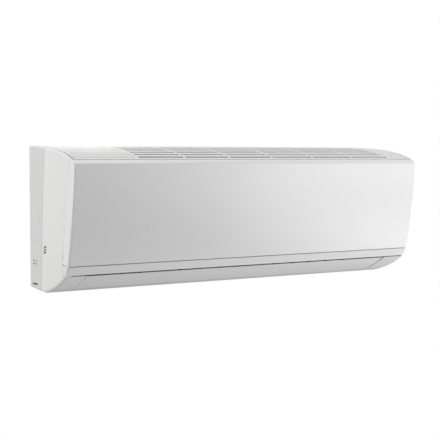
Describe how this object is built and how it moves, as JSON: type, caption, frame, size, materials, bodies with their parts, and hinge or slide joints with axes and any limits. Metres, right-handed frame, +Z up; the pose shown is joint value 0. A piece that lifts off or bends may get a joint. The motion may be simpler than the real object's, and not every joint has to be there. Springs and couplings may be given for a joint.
{
  "type": "mini split indoor unit",
  "caption": "Wall-hung indoor unit of a split air conditioner: curved white case with a hinged front panel, slotted top inlet and a pivoting outlet flap.",
  "frame": {"origin": "centre of the wall plate's back face, at half the height of the casing", "axes": "+X along the unit to its right end as seen from the room, +Y into the wall, +Z up; the front panel faces -Y"},
  "size_m": [0.845, 0.209, 0.289],
  "materials": {
    "white_plastic": "satin",
    "base_plastic": "fine matt grain",
    "gloss_panel": "gloss",
    "zinc_plate": "galvanised",
    "aluminium_fins": "bare",
    "copper": "drawn copper tube",
    "brass": "turned",
    "black_rubber": "matt",
    "board_green": "lacquered board",
    "dark_plastic": "satin",
    "filter_net": "fine net",
    "steel": "ground"
  },
  "bodies": {
    "housing": {"wall_plate": "zinc_plate", "rear_chassis": "base_plastic", "front_frame": "white_plastic", "left_end_cap": "white_plastic", "right_end_cap": "white_plastic", "inlet_grille": "white_plastic", "lower_trim": "white_plastic", "bottom_cover_left": "white_plastic", "bottom_cover_right": "white_plastic", "drain_pan": "base_plastic", "drain_plug": "black_rubber", "coil_lower": "aluminium_fins", "coil_upper": "aluminium_fins", "coil_rear": "aluminium_fins", "coil_end_left": "copper", "coil_end_right": "copper", "gas_pipe": "copper", "liquid_pipe": "copper", "gas_flare_nut": "brass", "liquid_flare_nut": "brass", "pipe_clamp": "white_plastic", "control_box": "base_plastic", "control_box_cover": "base_plastic", "main_board": "board_green", "terminal_block": "white_plastic", "fan_motor": "zinc_plate", "motor_clamp": "base_plastic", "bearing_bush": "black_rubber", "flap_motor": "zinc_plate", "receiver_board": "board_green", "vane_strip_left": "white_plastic", "vane_strip_right": "white_plastic"},
    "door": {"front_panel": "gloss_panel"},
    "flap": {"louver_flap": "white_plastic"},
    "blower": {"cross_flow_fan": "dark_plastic", "fan_shaft": "steel"},
    "filter_slide_left": {"filter_left": "filter_net"},
    "filter_slide_right": {"filter_right": "filter_net"},
    "button": {"manual_button": "white_plastic"},
    "bar_left": {"link_bar_left": "dark_plastic"},
    "bar_right": {"link_bar_right": "dark_plastic"},
    "guide_1": {"vane_1": "dark_plastic"},
    "guide_2": {"vane_2": "dark_plastic"},
    "guide_3": {"vane_3": "dark_plastic"},
    "guide_4": {"vane_4": "dark_plastic"},
    "guide_5": {"vane_5": "dark_plastic"},
    "guide_6": {"vane_6": "dark_plastic"},
    "guide_7": {"vane_7": "dark_plastic"},
    "guide_8": {"vane_8": "dark_plastic"},
    "guide_9": {"vane_9": "dark_plastic"},
    "guide_10": {"vane_10": "dark_plastic"},
    "guide_11": {"vane_11": "dark_plastic"},
    "guide_12": {"vane_12": "dark_plastic"}
  },
  "joints": [
    {"name": "panel_hinge", "type": "hinge", "parent": "housing", "child": "door", "pos_m": [0, -0.198, 0.1093], "axis": [-1, 0, 0], "range_deg": [0, 60]},
    {"name": "flap_pivot", "type": "hinge", "parent": "housing", "child": "flap", "pos_m": [0, -0.104, -0.128], "axis": [1, 0, 0], "range_deg": [0, 75]},
    {"name": "fan_spin", "type": "hinge", "parent": "housing", "child": "blower", "pos_m": [0, -0.08792, -0.0225], "axis": [1, 0, 0], "continuous": true},
    {"name": "filter_lift_left", "type": "slide", "parent": "housing", "child": "filter_slide_left", "axis": [0, -0.1534, 0.9882], "range_m": [0, 0.006]},
    {"name": "filter_lift_right", "type": "slide", "parent": "housing", "child": "filter_slide_right", "axis": [0, -0.1534, 0.9882], "range_m": [0, 0.006]},
    {"name": "button_push", "type": "slide", "parent": "housing", "child": "button", "axis": [0, 0.9822, 0.1881], "range_m": [0, 0.0015], "stiffness_N_per_m": 400, "springref_m": -0.001},
    {"name": "vane_turn_1", "type": "hinge", "parent": "housing", "child": "guide_1", "pos_m": [-0.223, -0.08006, -0.11115], "axis": [0, -0.7862, 0.618], "range_deg": [-35, 35]},
    {"name": "vane_turn_2", "type": "hinge", "parent": "housing", "child": "guide_2", "pos_m": [-0.175, -0.08006, -0.11115], "axis": [0, -0.7862, 0.618], "range_deg": [-35, 35]},
    {"name": "vane_turn_3", "type": "hinge", "parent": "housing", "child": "guide_3", "pos_m": [-0.127, -0.08006, -0.11115], "axis": [0, -0.7862, 0.618], "range_deg": [-35, 35]},
    {"name": "vane_turn_4", "type": "hinge", "parent": "housing", "child": "guide_4", "pos_m": [-0.079, -0.08006, -0.11115], "axis": [0, -0.7862, 0.618], "range_deg": [-35, 35]},
    {"name": "vane_turn_5", "type": "hinge", "parent": "housing", "child": "guide_5", "pos_m": [-0.031, -0.08006, -0.11115], "axis": [0, -0.7862, 0.618], "range_deg": [-35, 35]},
    {"name": "vane_turn_6", "type": "hinge", "parent": "housing", "child": "guide_6", "pos_m": [0.017, -0.08006, -0.11115], "axis": [0, -0.7862, 0.618], "range_deg": [-35, 35]},
    {"name": "vane_turn_7", "type": "hinge", "parent": "housing", "child": "guide_7", "pos_m": [0.065, -0.08006, -0.11115], "axis": [0, -0.7862, 0.618], "range_deg": [-35, 35]},
    {"name": "vane_turn_8", "type": "hinge", "parent": "housing", "child": "guide_8", "pos_m": [0.113, -0.08006, -0.11115], "axis": [0, -0.7862, 0.618], "range_deg": [-35, 35]},
    {"name": "vane_turn_9", "type": "hinge", "parent": "housing", "child": "guide_9", "pos_m": [0.161, -0.08006, -0.11115], "axis": [0, -0.7862, 0.618], "range_deg": [-35, 35]},
    {"name": "vane_turn_10", "type": "hinge", "parent": "housing", "child": "guide_10", "pos_m": [0.209, -0.08006, -0.11115], "axis": [0, -0.7862, 0.618], "range_deg": [-35, 35]},
    {"name": "vane_turn_11", "type": "hinge", "parent": "housing", "child": "guide_11", "pos_m": [0.257, -0.08006, -0.11115], "axis": [0, -0.7862, 0.618], "range_deg": [-35, 35]},
    {"name": "vane_turn_12", "type": "hinge", "parent": "housing", "child": "guide_12", "pos_m": [0.305, -0.08006, -0.11115], "axis": [0, -0.7862, 0.618], "range_deg": [-35, 35]},
    {"name": "link_left", "type": "hinge", "parent": "guide_1", "child": "bar_left", "pos_m": [-0.223, -0.0745, -0.10407], "axis": [0, -0.7862, 0.618], "range_deg": [-35, 35]},
    {"name": "link_right", "type": "hinge", "parent": "guide_7", "child": "bar_right", "pos_m": [0.065, -0.0745, -0.10407], "axis": [0, -0.7862, 0.618], "range_deg": [-35, 35]}
  ],
  "couplings": [
    {"joint": "vane_turn_2", "follows": "vane_turn_1", "ratio": 1},
    {"joint": "vane_turn_3", "follows": "vane_turn_1", "ratio": 1},
    {"joint": "vane_turn_4", "follows": "vane_turn_1", "ratio": 1},
    {"joint": "vane_turn_5", "follows": "vane_turn_1", "ratio": 1},
    {"joint": "vane_turn_6", "follows": "vane_turn_1", "ratio": 1},
    {"joint": "vane_turn_8", "follows": "vane_turn_7", "ratio": 1},
    {"joint": "vane_turn_9", "follows": "vane_turn_7", "ratio": 1},
    {"joint": "vane_turn_10", "follows": "vane_turn_7", "ratio": 1},
    {"joint": "vane_turn_11", "follows": "vane_turn_7", "ratio": 1},
    {"joint": "vane_turn_12", "follows": "vane_turn_7", "ratio": 1},
    {"joint": "link_left", "follows": "vane_turn_1", "ratio": -1},
    {"joint": "link_right", "follows": "vane_turn_7", "ratio": -1}
  ]
}
